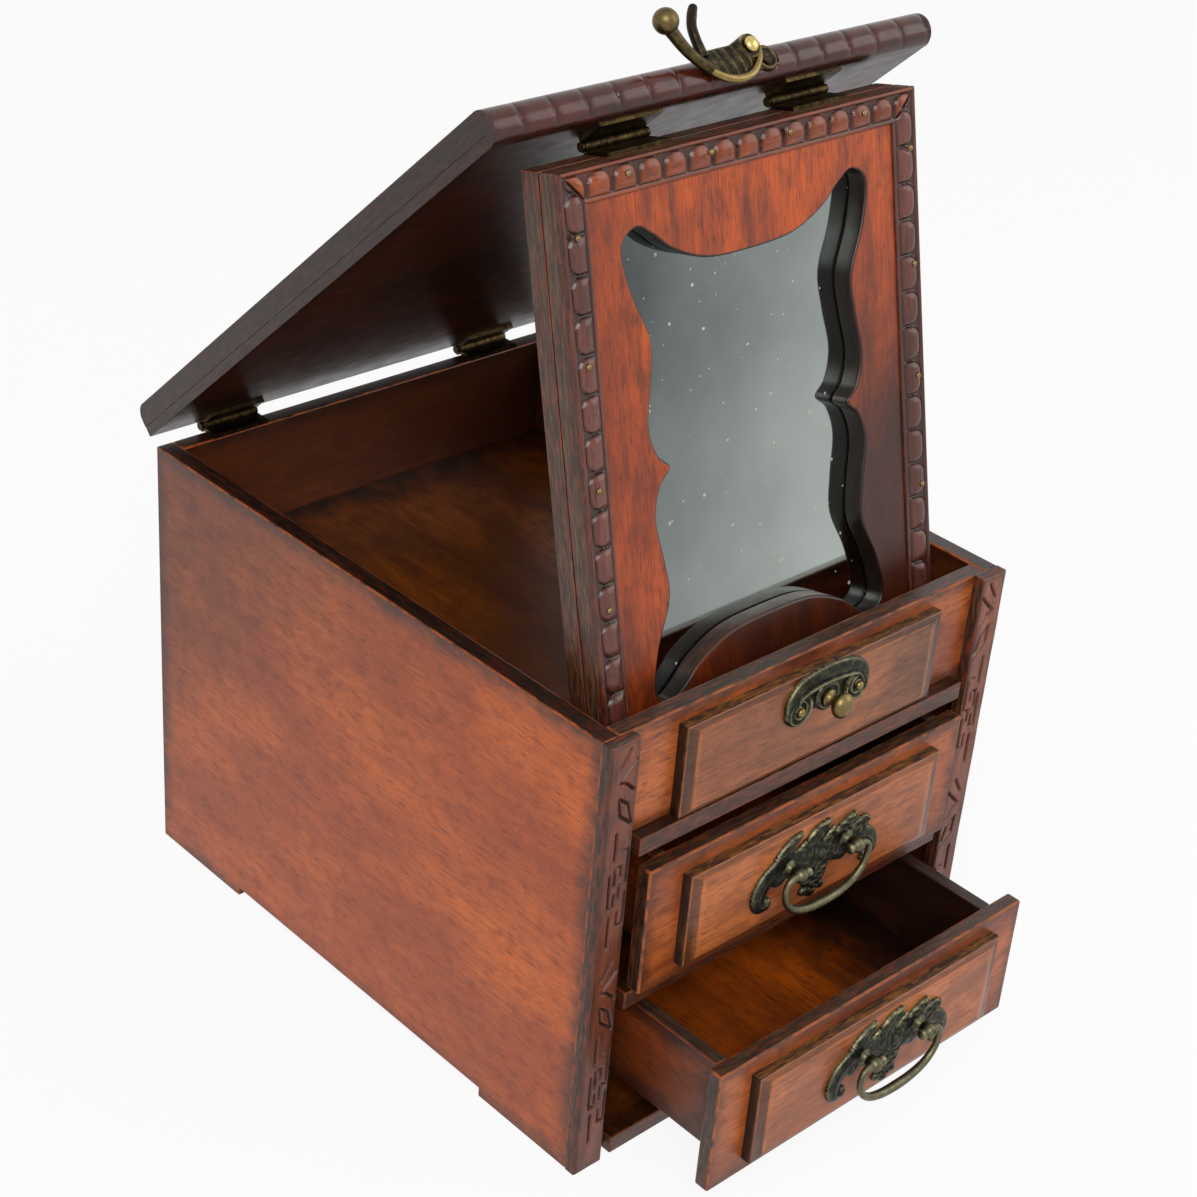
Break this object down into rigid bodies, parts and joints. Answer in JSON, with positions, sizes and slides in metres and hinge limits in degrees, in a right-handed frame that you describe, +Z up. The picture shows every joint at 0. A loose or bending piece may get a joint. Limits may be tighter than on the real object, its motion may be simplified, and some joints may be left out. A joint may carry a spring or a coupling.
{
  "type": "dressing box",
  "caption": "Wooden dressing box with two drawers, a tray under a hinged lid, and a folding mirror frame on the lid.",
  "frame": {"origin": "middle of the case's footprint, on the ground that its feet stand on", "axes": "+Z up; -Y is the front, where the drawers open; +X is on the viewer's right when facing the front"},
  "size_m": [0.161, 0.2621, 0.3133],
  "materials": {
    "case_wood": "red-brown stained and rubbed hardwood, darkened along its edges",
    "frame_wood": "orange-red stained hardwood with dark moulding hollows",
    "carved_wood": "carved wood, dark in its cuts and rubbed on its high places",
    "dark_wood": "dark stained plywood with streaked edges",
    "inner_wood": "thin orange-brown stain on bare wood",
    "bronze": "cast brass, browned, rubbed bright on its edges",
    "hinge_brass": "plain stamped brass, slightly dulled",
    "mirror": "silvered flat glass"
  },
  "bodies": {
    "case": {"left_side_panel": "case_wood", "right_side_panel": "case_wood", "back_panel": "case_wood", "bottom_board": "case_wood", "divider_board": "case_wood", "tray_floor": "inner_wood", "front_panel": "case_wood", "front_field": "case_wood", "left_carved_strip": "carved_wood", "right_carved_strip": "carved_wood", "lower_runners": "inner_wood", "upper_runners": "inner_wood", "back_hinge_case_leaves": "hinge_brass", "back_hinge_case_screws": "bronze", "back_hinge_pins": "hinge_brass", "catch_plate": "bronze", "catch_screws": "bronze", "catch_stud": "bronze"},
    "lid": {"lid_top_board": "dark_wood", "lid_under_board": "case_wood", "lid_front_moulding": "carved_wood", "back_hinge_lid_leaves": "hinge_brass", "back_hinge_lid_screws": "bronze", "mirror_hinge_lid_leaves": "hinge_brass", "mirror_hinge_lid_screws": "bronze", "mirror_hinge_pins": "hinge_brass", "hook_plate": "bronze", "hook_plate_screws": "bronze", "hook_rivet": "bronze"},
    "hook": {"hook": "bronze"},
    "mirror_frame": {"scalloped_board": "frame_wood", "frame_top_moulding": "frame_wood", "frame_bottom_moulding": "frame_wood", "frame_side_mouldings": "frame_wood", "frame_side_rails": "frame_wood", "frame_cross_rails": "frame_wood", "mirror_glass": "mirror", "mirror_backing": "inner_wood", "mirror_hinge_frame_leaves": "hinge_brass", "mirror_hinge_frame_screws": "bronze", "frame_brads": "bronze"},
    "lower_drawer": {"lower_drawer_front": "case_wood", "lower_drawer_field": "case_wood", "lower_drawer_left_side": "inner_wood", "lower_drawer_right_side": "inner_wood", "lower_drawer_back": "inner_wood", "lower_drawer_bottom": "inner_wood", "lower_pull_plate": "bronze", "lower_pull_posts": "bronze"},
    "lower_bail": {"lower_bail": "bronze"},
    "upper_drawer": {"upper_drawer_front": "case_wood", "upper_drawer_field": "case_wood", "upper_drawer_left_side": "inner_wood", "upper_drawer_right_side": "inner_wood", "upper_drawer_back": "inner_wood", "upper_drawer_bottom": "inner_wood", "upper_pull_plate": "bronze", "upper_pull_posts": "bronze"},
    "upper_bail": {"upper_bail": "bronze"}
  },
  "joints": [
    {"name": "lid_hinge", "type": "hinge", "parent": "case", "child": "lid", "pos_m": [0, 0.1058, 0.1482], "axis": [-1, 0, 0], "range_deg": [0, 52]},
    {"name": "mirror_fold", "type": "hinge", "parent": "lid", "child": "mirror_frame", "pos_m": [0, -0.03931, 0.28151], "axis": [1, 0, 0], "range_deg": [0, 60.18]},
    {"name": "lower_drawer_slide", "type": "slide", "parent": "case", "child": "lower_drawer", "axis": [0, -1, 0], "range_m": [-0.0345, 0.08]},
    {"name": "upper_drawer_slide", "type": "slide", "parent": "case", "child": "upper_drawer", "axis": [0, -1, 0], "range_m": [-0.0034, 0.11]},
    {"name": "lower_bail_swing", "type": "hinge", "parent": "lower_drawer", "child": "lower_bail", "pos_m": [0.005, -0.14825, 0.0336], "axis": [-1, 0, 0], "range_deg": [0, 85]},
    {"name": "upper_bail_swing", "type": "hinge", "parent": "upper_drawer", "child": "upper_bail", "pos_m": [-0.0019, -0.11715, 0.0854], "axis": [-1, 0, 0], "range_deg": [0, 85]},
    {"name": "hook_swing", "type": "hinge", "parent": "lid", "child": "hook", "pos_m": [0.0086, -0.04319, 0.30026], "axis": [0, -0.733, 0.6803], "range_deg": [-10, 95]}
  ]
}
